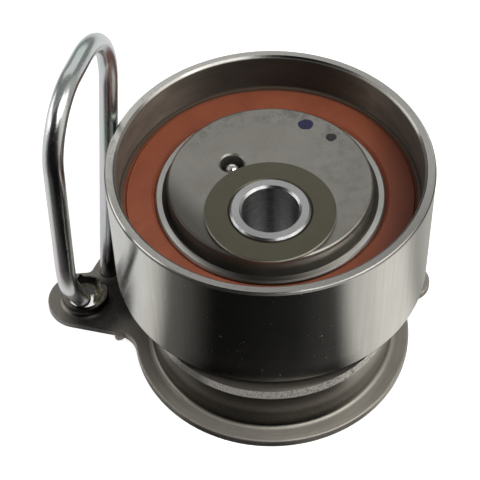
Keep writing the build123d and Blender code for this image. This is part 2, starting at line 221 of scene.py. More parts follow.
def ground_steel():
    """The drum: ground round its belt face, turned inside, with a brownish film in the recess."""
    mat, tree, shader = new_material("ground_steel")
    radius, angle, z = round_axis(tree, DRUM_AXIS)
    point, x, y, _ = place(tree)
    lines = turned_lines(tree, DRUM_AXIS, 5000.0, 1.5, 9000.0)
    cloud = speckle(tree, point, 90.0, 4.0, 0.6)
    inside = spread(tree, radius, 28.15 * MM, 28.0 * MM)

    # The belt face, with faint upright marks.
    clean = blend_colour(tree, cloud, (0.60, 0.595, 0.565), (0.70, 0.695, 0.665))
    marks = drawn_out(tree, angle, z, 34.0, 35.0, 4.0, 0.7)
    clean = blend_colour(tree, spread(tree, marks, 0.35, 0.68, 0.0, 0.30), clean, (0.44, 0.435, 0.405))

    # The recess: a streaked film, darker towards the back and on the right.
    filmed = blend_colour(tree, cloud, (0.24, 0.212, 0.172), (0.36, 0.325, 0.275))
    streaks = drawn_out(tree, angle, z, 3.0, 420.0, 5.0, 0.7)
    filmed = blend_colour(tree, spread(tree, streaks, 0.40, 0.66, 0.0, 0.55), filmed, (0.12, 0.100, 0.078))
    darker_back = spread(tree, plus_share(tree, y, cloud, 4 * MM), 27 * MM, 37 * MM, 0.0, 0.85, True)
    darker_right = spread(tree, x, 14 * MM, 27 * MM, 0.0, 0.55, True)
    darker_parts = calc(tree, "MAXIMUM", darker_back, darker_right)
    filmed = blend_colour(tree, darker_parts, filmed, (0.030, 0.025, 0.020))
    colour = blend_colour(tree, inside, clean, filmed)

    # Painted shade on the belt face's foot in front, which dims its reflection of the lit flange, and on the
    # drum's lower face.
    foot = spread(tree, z, 18.5 * MM, 15.0 * MM, 0.0, 0.75, True)
    foot = times(tree, foot, spread(tree, y, -17 * MM, -20.5 * MM))
    underside = spread(tree, z, 14.5 * MM, 14.3 * MM)
    colour = blend_colour(tree, calc(tree, "MAXIMUM", foot, underside), colour, (0.10, 0.095, 0.085))

    # The rim: its scuffed face, with painted light on the left and painted shade on the right, and painted
    # shade on its outer corner in front and on its inner lip, which dims their highlights.
    rim = spread(tree, z, 39.9 * MM, 39.97 * MM)
    scuff = speckle(tree, point, 700.0, 4.0, 0.7)
    edge = blend_colour(tree, spread(tree, x, -25 * MM, 25 * MM), (0.57, 0.555, 0.52), (0.39, 0.38, 0.355))
    edge = blend_colour(tree, spread(tree, scuff, 0.55, 0.75, 0.0, 0.5), edge, (0.26, 0.25, 0.23))
    colour = blend_colour(tree, rim, colour, edge)
    corner = spread(tree, radius, 29.70 * MM, 29.80 * MM)
    corner = times(tree, corner, spread(tree, z, 39.55 * MM, 39.65 * MM))
    corner = times(tree, corner, spread(tree, y, 20 * MM, 5 * MM))
    colour = blend_colour(tree, corner, colour, (0.20, 0.195, 0.18))
    lip = spread(tree, radius, 28.5 * MM, 28.4 * MM)
    lip = times(tree, lip, spread(tree, z, 39.4 * MM, 39.5 * MM))
    colour = blend_colour(tree, spread(tree, lip, 0.0, 1.0, 0.0, 0.65), colour, (0.22, 0.21, 0.185))

    # Rougher at a few specks, on the rim's corner and in the recess.
    specks = spread(tree, speckle(tree, point, 1500.0, 1.0, 0.4), 0.76, 0.80, 0.0, 0.22)
    rough = plus(tree, by_noise(tree, lines, 0.19, 0.26), specks)
    rough = plus(tree, rough, spread(tree, corner, 0.0, 1.0, 0.0, 0.25))
    rough = plus(tree, rough, spread(tree, inside, 0.0, 1.0, 0.0, 0.2))
    dress(tree, shader, {
        "Base Color": colour,
        "Roughness": rough,
        "Normal": bump(tree, lines, 0.12, 0.02 * MM),
        "Metallic": spread(tree, inside, 0.0, 1.0, 1.0, 0.45),
    })
    turned_shine(tree, shader, 0.85)
    return mat


def bearing_steel():
    """The races and balls: hardened steel with a fine ground finish, and a brown film outside the seal."""
    mat, tree, shader = new_material("bearing_steel")
    point, _, _, _ = place(tree)
    radius, angle, _ = round_axis(tree, DRUM_AXIS)
    lines = turned_lines(tree, DRUM_AXIS)
    cloud = speckle(tree, point, 200.0)
    colour = blend_colour(tree, cloud, (0.46, 0.455, 0.425), (0.56, 0.555, 0.53))

    # The inner ring: painted shade in front, and painted highlights between that and the sides.
    deg = math.radians
    race = spread(tree, radius, 22.6 * MM, 22.4 * MM)
    from_front = size_of(tree, plus(tree, angle, deg(90)))
    ring_front_shade = times(tree, race, spread(tree, from_front, deg(8), deg(36), 0.85, 0.0, True))
    ring_side_highlight = times(
        tree, spread(tree, from_front, deg(26), deg(42), 0.0, 0.9, True),
        spread(tree, from_front, deg(52), deg(80), 1.0, 0.0, True),
    )
    colour = blend_colour(tree, ring_front_shade, colour, (0.105, 0.098, 0.085))
    colour = blend_colour(tree, times(tree, race, ring_side_highlight), colour, (0.93, 0.91, 0.86))

    # The outer ring: filmed, with a dark line where it meets the drum.
    film = spread(tree, radius, 26.5 * MM, 26.7 * MM)
    colour = blend_colour(tree, film, colour, (0.130, 0.092, 0.066))
    colour = blend_colour(tree, spread(tree, radius, 27.5 * MM, 27.9 * MM), colour, (0.070, 0.052, 0.040))
    dress(tree, shader, {
        "Base Color": colour,
        "Roughness": by_noise(tree, lines, 0.30, 0.42),
        "Normal": bump(tree, lines, 0.10, 0.02 * MM),
        "Metallic": spread(tree, film, 0.0, 1.0, 1.0, 0.1),
    })
    turned_shine(tree, shader, 0.3)
    return mat


def polished_steel():
    """The dowel: hardened and polished."""
    mat, tree, shader = new_material("polished_steel")
    point, _, _, _ = place(tree)
    cloud = speckle(tree, point, 900.0)
    dress(tree, shader, {
        "Base Color": blend_colour(tree, cloud, (0.78, 0.77, 0.74), (0.90, 0.89, 0.86)),
        "Roughness": by_noise(tree, cloud, 0.10, 0.18),
        "Metallic": 1.0,
    })
    return mat


def sintered_steel():
    """The hub's disc: a fine satin face with smudges, and painted shade at its front left."""
    mat, tree, shader = new_material("sintered_steel")
    point, x, y, _ = place(tree)
    radius, _, _ = round_axis(tree, DRUM_AXIS)
    grain = speckle(tree, point, 2600.0, 3.0, 0.6)
    smudge = speckle(tree, point, 120.0, 5.0, 0.65, 0.6)
    smudged = spread(tree, smudge, 0.35, 0.68)
    colour = blend_colour(tree, smudged, (0.275, 0.262, 0.232), (0.345, 0.332, 0.298))
    colour = blend_colour(tree, by_noise(tree, grain, 0.0, 0.35), colour, (0.40, 0.388, 0.355))

    # Painted shade at the disc's front left.
    front_left = minus(tree, times(tree, x, -0.8), times(tree, y, 0.6))
    shade_patch = spread(tree, plus_share(tree, front_left, smudge, 3 * MM), 9 * MM, 14.5 * MM, 0.0, 0.7, True)
    colour = blend_colour(tree, shade_patch, colour, (0.055, 0.050, 0.042))

    # Small stains along the back of the disc, and soft scuffs on its right.
    stain = spread(tree, speckle(tree, point, 420.0, 5.0, 0.7, 0.8), 0.48, 0.62, 0.0, 0.55)
    behind = times(tree, spread(tree, radius, 13.5 * MM, 16.5 * MM), spread(tree, y, 15 * MM, 20 * MM))
    colour = blend_colour(tree, times(tree, stain, behind), colour, (0.15, 0.148, 0.135))
    scuff = spread(tree, speckle(tree, point, 330.0, 5.0, 0.7, 0.2), 0.48, 0.66, 0.0, 0.4)
    scuff = times(tree, scuff, spread(tree, x, 5 * MM, 9 * MM))
    colour = blend_colour(tree, scuff, colour, (0.19, 0.185, 0.165))
    dress(tree, shader, {
        "Base Color": colour,
        "Roughness": by_noise(tree, smudge, 0.36, 0.46),
        "Normal": bump(tree, grain, 0.10, 0.03 * MM),
        "Metallic": 0.9,
    })
    return mat


def phosphated_steel():
    """The drawn base: a brown-grey coat with drawing rings, with painted shade and some oily grime in the
    ear, and painted shade round the cup's foot and the flange's cut edge in front.
    """
    mat, tree, shader = new_material("phosphated_steel")
    point, x, y, z = place(tree)
    radius, _, _ = round_axis(tree, PIVOT_AXIS)
    grain = speckle(tree, point, 3200.0, 3.0, 0.6)
    cloud = speckle(tree, point, 140.0, 4.0, 0.6, 0.4)
    mottle = by_noise(tree, cloud)

    # The flat flange and ear: rings darker and lighter, and painted shade that deepens out to the ear on the
    # left.
    flat = blend_colour(tree, mottle, (0.385, 0.355, 0.308), (0.46, 0.43, 0.38))
    rings = turned_lines(tree, PIVOT_AXIS, 1900.0, 2.0, 60.0)
    flat = blend_colour(tree, spread(tree, rings, 0.42, 0.62, 0.0, 0.30), flat, (0.20, 0.182, 0.158))
    flat = blend_colour(tree, spread(tree, rings, 0.62, 0.72, 0.0, 0.35), flat, (0.56, 0.53, 0.48))
    flat = blend_colour(tree, spread(tree, x, -19 * MM, -31 * MM, 0.0, 0.55), flat, (0.17, 0.158, 0.138))

    # Painted shade about two spots of the ear, partly oily grime there.
    near = None
    for spot in ((-35.0 * MM, 3.2 * MM, 1.5 * MM), (-30.5 * MM, 7.5 * MM, 1.5 * MM)):
        away = add(tree, "ShaderNodeVectorMath", {0: point, 1: spot}, operation="DISTANCE").outputs["Value"]
        near = away if near is None else calc(tree, "MINIMUM", near, away)
    near = plus_share(tree, near, speckle(tree, point, 60.0, 3.0), 3 * MM)
    shade_patch = spread(tree, near, 5.0 * MM, 9.5 * MM, 0.97, 0.0, True)
    flat = blend_colour(tree, shade_patch, flat, (0.020, 0.018, 0.016))

    # Painted shade on the flange's cut edge in front, which dims its reflection of the floor.
    front = spread(tree, plus_share(tree, y, x, 0.25), -27.0 * MM, -24.0 * MM, 1.0, 0.0, True)
    cut = times(tree, front, spread(tree, radius, 26.6 * MM, 26.9 * MM, 0.0, 0.8))
    flat = blend_colour(tree, cut, flat, (0.06, 0.055, 0.048))

    # The cup's wall, with painted shade on its foot, fading to the right. The ear's collar keeps the flat
    # colour.
    wall = blend_colour(tree, mottle, (0.36, 0.345, 0.315), (0.43, 0.41, 0.375))
    low = spread(tree, z, 7.6 * MM, 5.2 * MM, 0.0, 0.93, True)
    low = times(tree, low, spread(tree, x, 9.0 * MM, 24.0 * MM, 1.0, 0.35, True))
    wall = blend_colour(tree, low, wall, (0.035, 0.032, 0.027))
    wall = blend_colour(tree, spread(tree, x, -29 * MM, -30 * MM), wall, flat)
    rise = spread(tree, z, 1.55 * MM, 1.95 * MM)
    colour = blend_colour(tree, rise, flat, wall)
    colour = blend_colour(tree, spread(tree, grain, 0.35, 0.75, 0.0, 0.16), colour, (0.36, 0.335, 0.30))
    grainy = by_noise(tree, grain, 0.0, 0.08)
    dress(tree, shader, {
        "Base Color": colour,
        "Roughness": plus(tree, grainy, spread(tree, rise, 0.0, 1.0, 0.40, 0.27)),
        "Normal": bump(tree, grain, 0.18, 0.03 * MM),
        "Metallic": spread(tree, rise, 0.0, 1.0, 0.55, 1.0),
    })
    return mat


def sheared_steel():
    """The arm plate: a smooth coated face, and a torn, brighter band where its edge was sheared."""
    mat, tree, shader = new_material("sheared_steel")
    point, x, _, z = place(tree)
    _, angle, _ = round_axis(tree, PIVOT_AXIS)
    torn = drawn_out(tree, angle, z, 90.0, 900.0, 5.0, 0.75)
    grain = speckle(tree, point, 2200.0, 4.0, 0.7)
    side = spread(tree, size_of(tree, upward(tree)), 0.3, 0.6, 1.0, 0.0)
    face = blend_colour(tree, grain, (0.30, 0.275, 0.24), (0.38, 0.35, 0.31))

    # The sheared band: dark at the front left, and pitted more and more to the right.
    edge = blend_colour(tree, spread(tree, torn, 0.35, 0.7), (0.44, 0.41, 0.37), (0.98, 0.935, 0.86))
    deg = math.radians
    from_left = size_of(tree, plus(tree, angle, deg(130)))
    left = spread(tree, from_left, deg(4), deg(14), 0.75, 0.0, True)
    edge = blend_colour(tree, left, edge, (0.13, 0.12, 0.105))
    pits = spread(tree, speckle(tree, point, 1500.0, 4.0, 0.7, 0.3), 0.53, 0.60, 0.0, 0.85)
    pits = times(tree, pits, spread(tree, x, -6 * MM, 14 * MM, 0.25, 1.0))
    edge = blend_colour(tree, pits, edge, (0.05, 0.045, 0.04))
    rough = bump(tree, times(tree, torn, side), 0.6, 0.12 * MM)
    dress(tree, shader, {
        "Base Color": blend_colour(tree, side, face, edge),
        "Roughness": spread(tree, side, 0.0, 1.0, 0.38, 0.46),
        "Normal": bump(tree, grain, 0.15, 0.03 * MM, rough),
        "Metallic": spread(tree, side, 0.0, 1.0, 0.9, 0.3),
    })
    return mat


def sleeve_steel():
    """The pivot sleeve: turned ends, and a bore with the rings that the tool left, with painted shade in its
    middle and painted reflections at its sides.
    """
    mat, tree, shader = new_material("sleeve_steel")
    point, x, _, _ = place(tree)
    radius, _, _ = round_axis(tree, PIVOT_AXIS)
    lines = turned_lines(tree, PIVOT_AXIS, 7000.0, 0.5, 2600.0)
    bore = spread(tree, radius, 5.35 * MM, 5.2 * MM)
    bright = blend_colour(tree, speckle(tree, point, 400.0), (0.44, 0.44, 0.44), (0.54, 0.54, 0.54))
    # Painted shade in the bore's middle and painted reflections at its sides.
    aside = spread(tree, size_of(tree, x), 1.2 * MM, 3.6 * MM, 0.0, 1.0, True)
    inner = blend_colour(tree, aside, (0.20, 0.20, 0.20), (0.86, 0.86, 0.86))
    dress(tree, shader, {
        "Base Color": blend_colour(tree, bore, bright, inner),
        "Roughness": by_noise(tree, lines, 0.24, 0.32),
        "Normal": bump(tree, lines, spread(tree, bore, 0.0, 1.0, 0.12, 0.035), 0.02 * MM),
        "Metallic": 1.0,
    })
    turned_shine(tree, shader, 0.6)
    return mat


def olive_steel():
    """The front washer: dark olive passivated steel, with a painted highlight along its rim."""
    mat, tree, shader = new_material("olive_steel")
    point, _, _, _ = place(tree)
    radius, _, _ = round_axis(tree, PIVOT_AXIS)
    grain = speckle(tree, point, 3000.0, 3.0, 0.6)
    cloud = speckle(tree, point, 260.0, 4.0)
    # A painted highlight along the washer's rim.
    rim = spread(tree, radius, 11.72 * MM, 11.85 * MM, 0.0, 0.8)
    colour = blend_colour(tree, cloud, (0.105, 0.098, 0.066), (0.130, 0.122, 0.085))
    colour = blend_colour(tree, spread(tree, grain, 0.4, 0.8, 0.0, 0.3), colour, (0.17, 0.16, 0.115))
    dress(tree, shader, {
        "Base Color": blend_colour(tree, rim, colour, (0.44, 0.43, 0.37)),
        "Roughness": by_noise(tree, grain, 0.34, 0.44),
        "Normal": bump(tree, grain, 0.08, 0.02 * MM),
        "Metallic": 0.75,
    })
    return mat


def seal_rubber():
    """The moulded seals: terracotta rubber with a soft bloom, painted shade on the right and dark at the rim.
    """
    mat, tree, shader = new_material("seal_rubber")
    point, x, _, _ = place(tree)
    radius, _, _ = round_axis(tree, DRUM_AXIS)
    cloud = speckle(tree, point, 150.0, 5.0, 0.6, 0.5)
    fine = speckle(tree, point, 2600.0, 2.0, 0.5)
    colour = blend_colour(tree, by_noise(tree, cloud), (0.31, 0.082, 0.039), (0.39, 0.112, 0.055))
    colour = blend_colour(tree, spread(tree, fine, 0.5, 0.9, 0.0, 0.2), colour, (0.46, 0.17, 0.10))
    # Painted shade on the right, where the drum's rim shades the seal.
    right_shade = spread(tree, plus_share(tree, x, cloud, 5 * MM), 19 * MM, 27 * MM, 0.0, 0.75, True)
    colour = blend_colour(tree, right_shade, colour, (0.13, 0.038, 0.022))
    rim = spread(tree, radius, 26.45 * MM, 26.75 * MM, 0.0, 0.35)
    dress(tree, shader, {
        "Base Color": blend_colour(tree, rim, colour, (0.10, 0.032, 0.018)),
        "Roughness": by_noise(tree, cloud, 0.48, 0.62),
        "Normal": bump(tree, fine, 0.10, 0.03 * MM),
        "Specular IOR Level": 0.3,
    })
    return mat


def zinc_wire():
    """The lock pin: bright zinc plate with a faint green and violet tint, drawing lines, and painted shade on
    its foot.
    """
    mat, tree, shader = new_material("zinc_wire")
    point, x, y, z = place(tree)
    upright = vector(tree, times(tree, x, 2600.0), times(tree, y, 2600.0), times(tree, z, 60.0))
    streak = speckle(tree, upright, 1.0, 3.0, 0.6)
    cloud = speckle(tree, point, 110.0, 3.0, 0.5, 0.6)
    tint = blend_colour(tree, spread(tree, cloud, 0.35, 0.65), (0.52, 0.60, 0.56), (0.62, 0.575, 0.62))
    colour = blend_colour(tree, spread(tree, streak, 0.4, 0.8, 0.0, 0.4), tint, (0.70, 0.71, 0.70))
    # Painted shade on the foot, down by the ear's collar, where it is also made dull.
    foot = spread(tree, plus_share(tree, z, cloud, 1.5 * MM), 6.0 * MM, 3.2 * MM, 0.0, 0.93, True)
    foot = times(tree, foot, spread(tree, x, -34.5 * MM, -35.0 * MM))
    colour = blend_colour(tree, foot, colour, (0.030, 0.030, 0.036))

    # The straight leg's right side. The leg leans, so its middle moves over with height.
    side = minus(tree, plus(tree, x, 32.9 * MM), times(tree, z, 0.0766))
    shade = spread(tree, side, -0.6 * MM, 0.3 * MM, 0.0, 0.72, True)
    shade = times(tree, shade, spread(tree, y, 12 * MM, 13 * MM))
    shade = times(tree, shade, spread(tree, z, 48 * MM, 40 * MM))
    dry = spread(tree, foot, 0.0, 1.0, 0.0, 0.5)
    dress(tree, shader, {
        "Base Color": blend_colour(tree, shade, colour, (0.10, 0.115, 0.105)),
        "Roughness": plus(tree, dry, by_noise(tree, streak, 0.19, 0.28)),
        "Normal": bump(tree, streak, 0.10, 0.02 * MM),
        "Metallic": spread(tree, foot, 0.2, 0.9, 1.0, 0.0),
        "Specular IOR Level": spread(tree, foot, 0.5, 0.9, 0.5, 0.05),
    })
    return mat


def spring_steel():
    """The coil: oil-tempered wire, blue-black."""
    mat, tree, shader = new_material("spring_steel")
    point, _, _, _ = place(tree)
    cloud = speckle(tree, point, 500.0, 4.0)
    dress(tree, shader, {
        "Base Color": blend_colour(tree, cloud, (0.05, 0.052, 0.06), (0.12, 0.12, 0.13)),
        "Roughness": by_noise(tree, cloud, 0.32, 0.48),
        "Metallic": 0.9,
    })
    return mat


def moulded(name, dark, light, rough):
    """A moulded plastic with a faint grain."""
    mat, tree, shader = new_material(name)
    point, _, _, _ = place(tree)
    cloud = speckle(tree, point, 300.0, 4.0)
    fine = speckle(tree, point, 3500.0, 2.0)
    dress(tree, shader, {
        "Base Color": blend_colour(tree, cloud, dark, light),
        "Roughness": by_noise(tree, cloud, rough, rough + 0.12),
        "Normal": bump(tree, fine, 0.12, 0.03 * MM),
    })
    return mat


def bush_bronze():
    """The pivot bush: sintered bronze, soaked in oil."""
    mat, tree, shader = new_material("bush_bronze")
    point, _, _, _ = place(tree)
    pores = speckle(tree, point, 4200.0, 3.0, 0.7)
    dress(tree, shader, {
        "Base Color": blend_colour(tree, pores, (0.34, 0.22, 0.11), (0.60, 0.42, 0.22)),
        "Roughness": by_noise(tree, pores, 0.35, 0.5),
        "Normal": bump(tree, pores, 0.2, 0.03 * MM),
        "Metallic": 1.0,
    })
    return mat


def paint(name, dark, light):
    """A dab of marking paint."""
    mat, tree, shader = new_material(name)
    point, _, _, _ = place(tree)
    cloud = speckle(tree, point, 1400.0, 3.0, 0.6, 0.8)
    dress(tree, shader, {
        "Base Color": blend_colour(tree, by_noise(tree, cloud), dark, light),
        "Roughness": by_noise(tree, cloud, 0.45, 0.6),
        "Normal": bump(tree, cloud, 0.3, 0.05 * MM),
    })
    return mat


def torn_steel():
    """Fresh torn metal: rough and pale, yellowish low down and brightened there by painted light, with
    painted shade behind the pin's foot.
    """
    mat, tree, shader = new_material("torn_steel")
    point, x, _, z = place(tree)
    coarse = speckle(tree, point, 900.0, 5.0, 0.7, 0.5)
    fine = speckle(tree, point, 3600.0, 3.0, 0.7)
    colour = blend_colour(tree, spread(tree, coarse, 0.38, 0.62), (0.11, 0.105, 0.085), (0.42, 0.40, 0.34))
    # Low down the torn metal is yellowish, and its colour is brightened as painted light inside the shaded
    # hole.
    low = blend_colour(tree, spread(tree, coarse, 0.35, 0.6), (0.28, 0.26, 0.15), (0.92, 0.87, 0.60))
    colour = blend_colour(tree, spread(tree, z, 2.6 * MM, 2.0 * MM), colour, low)
    # Painted shade behind the pin's foot.
    behind = spread(tree, plus_share(tree, x, coarse, 0.8 * MM), -33.9 * MM, -34.9 * MM)
    behind = times(tree, behind, spread(tree, z, 1.6 * MM, 2.2 * MM))
    rough = bump(tree, coarse, 0.8, 0.15 * MM)
    dress(tree, shader, {
        "Base Color": blend_colour(tree, behind, colour, (0.022, 0.021, 0.018)),
        "Roughness": by_noise(tree, fine, 0.25, 0.5),
        "Normal": bump(tree, fine, 0.4, 0.04 * MM, rough),
        "Metallic": 0.85,
    })
    return mat


MATERIALS = {
    "ground_steel": ground_steel(),
    "bearing_steel": bearing_steel(),
    "polished_steel": polished_steel(),
    "sintered_steel": sintered_steel(),
    "phosphated_steel": phosphated_steel(),
    "sheared_steel": sheared_steel(),
    "sleeve_steel": sleeve_steel(),
    "olive_steel": olive_steel(),
    "seal_rubber": seal_rubber(),
    "zinc_wire": zinc_wire(),
    "spring_steel": spring_steel(),
    "cage_plastic": moulded("cage_plastic", (0.56, 0.49, 0.33), (0.66, 0.60, 0.44), 0.38),
    "bush_plastic": moulded("bush_plastic", (0.020, 0.020, 0.021), (0.036, 0.036, 0.037), 0.42),
    "bush_bronze": bush_bronze(),
}

USES = {
    "base_plate": "phosphated_steel",
    "rear_disc": "phosphated_steel",
    "pivot_sleeve": "sleeve_steel",
    "rear_washer": "bush_plastic",
    "spring_bush": "bush_plastic",
    "torsion_spring": "spring_steel",
    "wear_ring": "bush_plastic",
    "top_washer": "olive_steel",
    "eccentric_hub": "sintered_steel",
    "hub_dowel": "polished_steel",
    "pivot_bush": "bush_bronze",
    "arm_plate": "sheared_steel",
    "spacer_ring": "bearing_steel",
    "bearing_inner_ring": "bearing_steel",
    "bearing_outer_ring": "bearing_steel",
    "front_seal": "seal_rubber",
    "rear_seal": "seal_rubber",
    "bearing_balls": "bearing_steel",
    "bearing_cage": "cage_plastic",
    "pulley_drum": "ground_steel",
    "lock_pin": "zinc_wire",
}

for name, obj in NODES.items():
    obj.data.materials.clear()
    obj.data.materials.append(MATERIALS[USES[name]])

# Pieces that the CAD model leaves to the looks.


def linked(name, data, mat):
    """An object of the mesh in one material, linked to the scene."""
    obj = bpy.data.objects.new(name, data)
    bpy.context.scene.collection.objects.link(obj)
    data.materials.append(mat)
    return obj


def from_bmesh(name, mesh, mat):
    """An object of a finished bmesh, which is freed."""
    data = bpy.data.meshes.new(name)
    mesh.to_mesh(data)
    mesh.free()
    return linked(name, data, mat)


DAB_SIDES = 48
DAB_PROFILE = ((0.0, 1.0), (0.45, 0.98), (0.75, 0.9), (0.92, 0.6), (1.0, 0.0))  # share of radius, of height
DAB_WAVE = 0.13  # how far the outline wanders, as a share of the radius
DAB_LOBES = 1.6  # how often it wanders


def paint_dab(name, centre, half_sizes, height, turn, seed, mat):
    """A flat irregular blob of paint with a thin rounded edge, lying on the hub's disc."""
    mesh = bmesh.new()
    rows = []
    for ring, lift in DAB_PROFILE:
        row = []
        for i in range(DAB_SIDES if ring else 1):
            a = 2 * math.pi * i / DAB_SIDES
            wander = noise.noise(Vector((DAB_LOBES * math.cos(a), DAB_LOBES * math.sin(a), seed)))
            wave = 1 + DAB_WAVE * wander
            x = ring * wave * half_sizes[0] * math.cos(a)
            y = ring * wave * half_sizes[1] * math.sin(a)
            px = centre[0] + x * math.cos(turn) - y * math.sin(turn)
            py = centre[1] + x * math.sin(turn) + y * math.cos(turn)
            row.append(mesh.verts.new((px, py, centre[2] + lift * height)))
        rows.append(row)
    for i in range(DAB_SIDES):
        mesh.faces.new((rows[0][0], rows[1][i], rows[1][(i + 1) % DAB_SIDES]))
    for inner, outer in zip(rows[1:], rows[2:]):
        for i in range(DAB_SIDES):
            j = (i + 1) % DAB_SIDES
            mesh.faces.new((inner[i], outer[i], outer[j], inner[j]))
    for face in mesh.faces:
        face.smooth = True
    obj = from_bmesh(name, mesh, mat)
    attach(obj, "eccentric")


DISC_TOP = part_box("eccentric_hub")[1][2]
DAB_Z = DISC_TOP - 0.002 * MM  # sunk a little, so that no gap shows under the paint's edge
paint_dab(
    "paint_dab_blue", (6.8 * MM, 22.1 * MM, DAB_Z), (1.50 * MM, 1.30 * MM), 0.035 * MM, 0.15, 3.0,
    paint("blue_paint", (0.007, 0.008, 0.045), (0.016, 0.016, 0.080)),
)
paint_dab(
    "paint_dab_brown", (11.5 * MM, 18.6 * MM, DAB_Z), (1.02 * MM, 1.02 * MM), 0.03 * MM, 0.4, 9.0,
    paint("brown_paint", (0.012, 0.009, 0.010), (0.032, 0.023, 0.023)),
)


def lofted(name, rows, mat, body):
    """A closed piece from a row of like outlines, capped at both ends."""
    mesh = bmesh.new()
    rings = [[mesh.verts.new(point) for point in row] for row in rows]
    size = len(rings[0])
    for one, other in zip(rings, rings[1:]):
        for i in range(size):
            j = (i + 1) % size
            mesh.faces.new((one[i], one[j], other[j], other[i]))
    mesh.faces.new(rings[0][::-1])
    mesh.faces.new(rings[-1])
    bmesh.ops.recalc_face_normals(mesh, faces=mesh.faces)
    obj = from_bmesh(name, mesh, mat)
    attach(obj, body)


def peak(deg, middle, width):
    """A soft peak of height 1 round an arc."""
    return math.exp(-((deg - middle) / width) ** 2)


RIM_FIRST, RIM_LAST, RIM_STEPS = -62, 138, 200  # the arc round the hole, in degrees, and its outlines
RIM_TAPER = 0.10  # share of the arc over which each end dies away
FLAP_CHORD = 1.42  # how near the flap's straight edge comes to the hole's centre


def torn_rim(mat):
    """The ragged lip that was left when the ear's collar was drawn: a crest on its rim, a flap in its hole.

    Worked out in millimetres."""
    wall = HOLE_R - 0.12
    rows = []
    for k in range(RIM_STEPS + 1):
        share = k / RIM_STEPS
        deg = RIM_FIRST + (RIM_LAST - RIM_FIRST) * share
        a = math.radians(deg)
        ends = min(1.0, share / RIM_TAPER, (1 - share) / RIM_TAPER)
        wave = noise.noise(Vector((deg * 0.11, 3.0, 0.0)))
        tooth = noise.noise(Vector((deg * 0.32, 9.0, 0.0)))
        crest = ends * (0.25 + 0.30 * max(0.0, wave) + 0.20 * tooth)
        crest += 1.25 * peak(deg, 107, 8) + 0.45 * peak(deg, 62, 9)
        flap = min(1.0, max(0.0, (deg + 36) / 14)) * min(1.0, max(0.0, (88 - deg) / 12))
        chord = FLAP_CHORD / max(0.2, math.cos(math.radians(min(deg, 80))))
        inner = min(wall, wall - flap * (wall - chord) + 0.22 * flap * tooth)
        low = 0.75 + 0.3 * wave * flap
        section = [
            (inner, low),
            (inner + 0.04, low + 0.28),
            (min(wall, 0.55 * inner + 0.45 * HOLE_R), 1.75 + 0.3 * tooth),
            (HOLE_R - 0.10, COLLAR_TOP - 0.1),
            (HOLE_R + 0.06, COLLAR_TOP + crest),
            (HOLE_R + 0.22 + 0.1 * tooth, COLLAR_TOP + 0.92 * crest),
            (HOLE_R + 0.62, COLLAR_TOP + 0.25 * crest),
            (HOLE_R + 0.74, COLLAR_TOP - 0.03),
            (HOLE_R + 0.03, COLLAR_TOP - 0.1),
            (HOLE_R + 0.03, low - 0.05),
        ]
        rows.append([
            ((HOLE_X + r * math.cos(a)) * MM, (HOLE_Y + r * math.sin(a)) * MM, h * MM) for r, h in section
        ])
    lofted("torn_rim", rows, mat, "base")


NUB_START = Vector((-31.0, -1.15, 0.0))
NUB_ALONG = Vector((1.0, -0.62, 0.0)).normalized()
NUB_LENGTH = 2.0
NUB_REACH = 0.95
NUB_STEPS = 16


def edge_nub(mat):
    """The small burr on the ear's front edge, where the two blanking cuts met. Worked out in millimetres."""
    out = Vector((-NUB_ALONG.y, NUB_ALONG.x, 0.0)) * -1
    rows = []
    for k in range(NUB_STEPS + 1):
        share = k / NUB_STEPS
        swell = math.sin(math.pi * share) ** 0.7
        ragged = 0.15 * noise.noise(Vector((share * 7, 5.0, 0.0)))
        reach = -0.35 + (NUB_REACH + ragged) * swell
        base = NUB_START + NUB_ALONG * (NUB_LENGTH * share)
        section = [(-0.5, 0.15), (reach, 0.10), (reach + 0.06, 0.75), (reach - 0.15, 1.36), (-0.5, 1.40)]
        rows.append([((base + out * r).x * MM, (base + out * r).y * MM, h * MM) for r, h in section])
    lofted("edge_nub", rows, mat, "base")


torn_rim(torn_steel())
edge_nub(MATERIALS["phosphated_steel"])

# Floor and light.


def mesh_object(name, verts, faces, mat):
    """A piece of the stage."""
    data = bpy.data.meshes.new(name)
    data.from_pydata(verts, [], faces)
    obj = linked(name, data, mat)
    return obj


FLOOR_HALF = 3.0
FLOOR_GLOW = 0.78  # own light of the floor as the camera sees it, which brings it up to white
MIRRORED_GLOW = 0.46  # share of that light that a reflection shows


